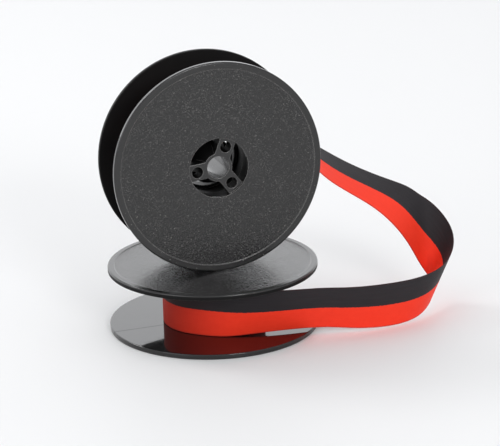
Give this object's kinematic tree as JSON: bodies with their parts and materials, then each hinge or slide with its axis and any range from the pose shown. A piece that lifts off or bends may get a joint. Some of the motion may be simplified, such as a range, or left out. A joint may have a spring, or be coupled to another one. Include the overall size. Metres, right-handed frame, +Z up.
{
  "type": "typewriter ribbon spool",
  "caption": "Two-colour inked typewriter ribbon on twin flanged spools, one lying flat and one standing on it, joined by a free loop of ribbon.",
  "frame": {"origin": "on the lower spool's axis, in the plane of the face that it lies on", "axes": "+Z up along the lower spool's axis; +Y along the upper spool's axis, from its core's face to its cover; +X towards the free loop of ribbon"},
  "size_m": [0.0878, 0.052, 0.0682],
  "materials": {
    "spool_plastic": "fine spark texture outside, gloss inside",
    "inked_ribbon": "woven nylon, one half black and one half red",
    "anchor_steel": "bright",
    "eyelet_brass": "bright"
  },
  "bodies": {
    "ribbon": {"ribbon_span": "inked_ribbon"},
    "upper_spool": {"upper_core": "spool_plastic", "upper_cover": "spool_plastic", "upper_winding": "inked_ribbon", "upper_anchor": "anchor_steel", "upper_eyelet": "eyelet_brass"},
    "lower_spool": {"lower_core": "spool_plastic", "lower_cover": "spool_plastic", "lower_winding": "inked_ribbon", "lower_anchor": "anchor_steel", "lower_eyelet": "eyelet_brass"}
  },
  "joints": [
    {"name": "upper_spin", "type": "hinge", "parent": "ribbon", "child": "upper_spool", "pos_m": [0, 0, 0.04218], "axis": [0, 1, 0], "continuous": true},
    {"name": "lower_spin", "type": "hinge", "parent": "ribbon", "child": "lower_spool", "pos_m": [0, 0, 0], "axis": [0, 0, 1], "continuous": true}
  ],
  "couplings": [
    {"joint": "lower_spin", "follows": "upper_spin", "ratio": -1.44}
  ]
}
